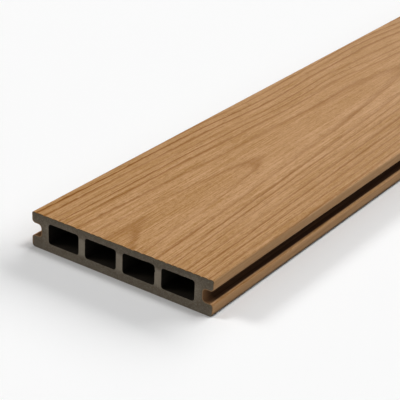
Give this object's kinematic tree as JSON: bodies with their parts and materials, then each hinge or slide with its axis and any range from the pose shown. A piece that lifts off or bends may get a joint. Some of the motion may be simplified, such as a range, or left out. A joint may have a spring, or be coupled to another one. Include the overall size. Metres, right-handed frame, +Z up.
{
  "type": "decking board",
  "caption": "Hollow capped composite decking board with embossed wood grain, rounded rectangular chambers and a hidden-fastener groove along each edge.",
  "frame": {"origin": "middle of the underside, halfway along the board", "axes": "+X across the board, +Y along it, +Z up out of the face that is walked on"},
  "size_m": [0.14, 2.2, 0.025],
  "materials": {
    "core_composite": "sawn grey-brown wood-plastic composite",
    "wood_grain_cap": "matt embossed oak-brown cap"
  },
  "bodies": {
    "root": {"core": "core_composite", "cap": "wood_grain_cap"}
  },
  "joints": []
}
